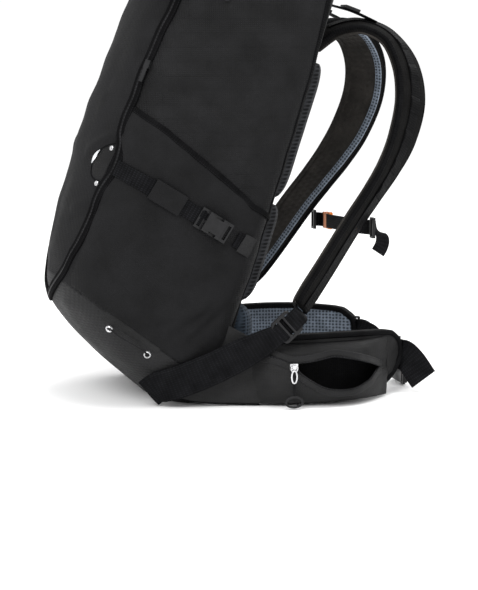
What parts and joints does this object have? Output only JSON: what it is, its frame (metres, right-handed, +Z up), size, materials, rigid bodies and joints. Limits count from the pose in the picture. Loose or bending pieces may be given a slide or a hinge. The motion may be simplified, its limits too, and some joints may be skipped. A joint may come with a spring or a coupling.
{
  "type": "avalanche airbag backpack",
  "caption": "Ski touring backpack with folded airbag and air canister, pull trigger, padded hip belt with zipped pockets, shoulder straps and compression straps",
  "frame": {"origin": "centre of the footprint box on the ground the pack stands on", "axes": "+X the wearer's forward, from the pack towards the belt tips; +Y the wearer's left; +Z up"},
  "size_m": [0.4853, 0.3548, 0.5606],
  "materials": {
    "shell_fabric": "matt black coated polyester",
    "base_fabric": "heavier graphite ripstop on the base and pockets",
    "foam_fabric": "woven cover over foam",
    "mesh": "blue-grey open spacer mesh",
    "webbing": "ribbed black nylon webbing",
    "buckle_plastic": "moulded black acetal",
    "orange_plastic": "moulded orange acetal",
    "zip_tape": "coated water-shedding zip tape",
    "sheet_plastic": "extruded polyethylene sheet",
    "stay_metal": "plain drawn rod",
    "fitting_metal": "satin plated rings, rivets and zip pulls",
    "bottle_metal": "grey painted pressure bottle",
    "valve_metal": "machined brass",
    "airbag_fabric": "folded orange coated nylon"
  },
  "bodies": {
    "pack": {"air_canister": "bottle_metal", "airbag_cover": "shell_fabric", "airbag_folded": "airbag_fabric", "anchor_strap_left": "webbing", "anchor_strap_right": "webbing", "back_pads": "mesh", "back_panel": "shell_fabric", "base_panel": "base_fabric", "burst_zip": "zip_tape", "compression_tongues": "buckle_plastic", "compression_webbing": "webbing", "eyelets": "fitting_metal", "frame_sheet": "sheet_plastic", "frame_stays": "stay_metal", "front_panel": "shell_fabric", "front_zip": "zip_tape", "gear_patches": "base_fabric", "haul_handle": "webbing", "inflator_valve": "valve_metal", "ladder_lock_left": "buckle_plastic", "ladder_lock_right": "buckle_plastic", "lid_zip": "zip_tape", "lifter_buckles": "buckle_plastic", "load_lifters": "webbing", "lumbar_pad": "mesh", "patch_rivets": "fitting_metal", "pole_cords": "webbing", "shoulder_strap_left": "foam_fabric", "shoulder_strap_right": "foam_fabric", "side_panel_left": "shell_fabric", "side_panel_right": "shell_fabric", "side_pockets": "shell_fabric", "strap_webbing": "webbing", "trigger_sleeve": "buckle_plastic"},
    "lid": {"lid": "shell_fabric"},
    "lid_pull": {"lid_slider": "fitting_metal"},
    "front_pull": {"front_slider": "fitting_metal"},
    "wing_right": {"hip_wing_right": "foam_fabric", "hip_pocket_right": "shell_fabric", "belt_ring_right": "buckle_plastic"},
    "wing_left": {"hip_wing_left": "foam_fabric", "hip_pocket_left": "shell_fabric", "belt_ring_left": "buckle_plastic"},
    "belt_right": {"belt_strap_right": "webbing", "belt_buckle": "buckle_plastic"},
    "belt_left": {"belt_strap_left": "webbing", "belt_tongue": "buckle_plastic"},
    "zip_right": {"pocket_slider_right": "fitting_metal"},
    "zip_left": {"pocket_slider_left": "fitting_metal"},
    "tab_right": {"pull_tab_right": "fitting_metal"},
    "tab_left": {"pull_tab_left": "fitting_metal"},
    "clip_right": {"compression_buckle_right": "buckle_plastic"},
    "clip_left": {"compression_buckle_left": "buckle_plastic"},
    "chest": {"chest_clips": "buckle_plastic", "chest_webbing": "webbing", "chest_tongue": "buckle_plastic"},
    "chest_clasp": {"chest_buckle": "orange_plastic"},
    "grip": {"trigger_grip": "orange_plastic"},
    "pin": {"firing_pin": "fitting_metal"}
  },
  "joints": [
    {"name": "lid_hinge", "type": "hinge", "parent": "pack", "child": "lid", "pos_m": [0.0267, 0, 0.556], "axis": [0, 1, 0], "range_deg": [0, 110]},
    {"name": "lid_zip_run", "type": "slide", "parent": "pack", "child": "lid_pull", "axis": [1, 0, 0], "range_m": [0, 0.04]},
    {"name": "front_zip_run", "type": "slide", "parent": "pack", "child": "front_pull", "axis": [-0.3715, 0.0066, -0.9284], "range_m": [0, 0.05]},
    {"name": "wing_right_flex", "type": "hinge", "parent": "pack", "child": "wing_right", "pos_m": [-0.0303, -0.118, 0.043], "axis": [0, 0, 1], "range_deg": [-4, 1.5], "stiffness_Nm_per_rad": 2},
    {"name": "belt_right_swing", "type": "hinge", "parent": "wing_right", "child": "belt_right", "pos_m": [0.20214, -0.08794, 0.05], "axis": [0, 0, 1], "range_deg": [-15, 0]},
    {"name": "pocket_right_zip", "type": "slide", "parent": "wing_right", "child": "zip_right", "axis": [1, 0, 0], "range_m": [0, 0.072]},
    {"name": "pocket_right_tab", "type": "hinge", "parent": "zip_right", "child": "tab_right", "pos_m": [0.0357, -0.1757, 0.0536], "axis": [-1, 0, 0], "range_deg": [0, 95]},
    {"name": "side_buckle_right", "type": "slide", "parent": "pack", "child": "clip_right", "axis": [-0.8483, 0, 0.5295], "range_m": [0, 0.02]},
    {"name": "wing_left_flex", "type": "hinge", "parent": "pack", "child": "wing_left", "pos_m": [-0.0303, 0.118, 0.043], "axis": [0, 0, -1], "range_deg": [-4, 1.5], "stiffness_Nm_per_rad": 2},
    {"name": "belt_left_swing", "type": "hinge", "parent": "wing_left", "child": "belt_left", "pos_m": [0.20214, 0.08794, 0.05], "axis": [0, 0, -1], "range_deg": [-15, 0]},
    {"name": "pocket_left_zip", "type": "slide", "parent": "wing_left", "child": "zip_left", "axis": [1, 0, 0], "range_m": [0, 0.072]},
    {"name": "pocket_left_tab", "type": "hinge", "parent": "zip_left", "child": "tab_left", "pos_m": [0.0357, 0.1757, 0.0536], "axis": [1, 0, 0], "range_deg": [0, 95]},
    {"name": "side_buckle_left", "type": "slide", "parent": "pack", "child": "clip_left", "axis": [-0.8483, 0, 0.5295], "range_m": [0, 0.02]},
    {"name": "chest_height", "type": "slide", "parent": "pack", "child": "chest", "axis": [0.6029, 0, 0.7978], "range_m": [-0.015, 0.015]},
    {"name": "chest_release", "type": "slide", "parent": "chest", "child": "chest_clasp", "axis": [0, -0.9988, 0.0499], "range_m": [0, 0.02]},
    {"name": "trigger_pull", "type": "slide", "parent": "pack", "child": "grip", "axis": [-0.2825, 0.2421, -0.9282], "range_m": [0, 0.045]},
    {"name": "pin_lift", "type": "slide", "parent": "pack", "child": "pin", "axis": [0.3099, 0, 0.9508], "range_m": [0, 0.008]}
  ],
  "couplings": [
    {"joint": "pin_lift", "follows": "trigger_pull", "ratio": 0.1778}
  ]
}
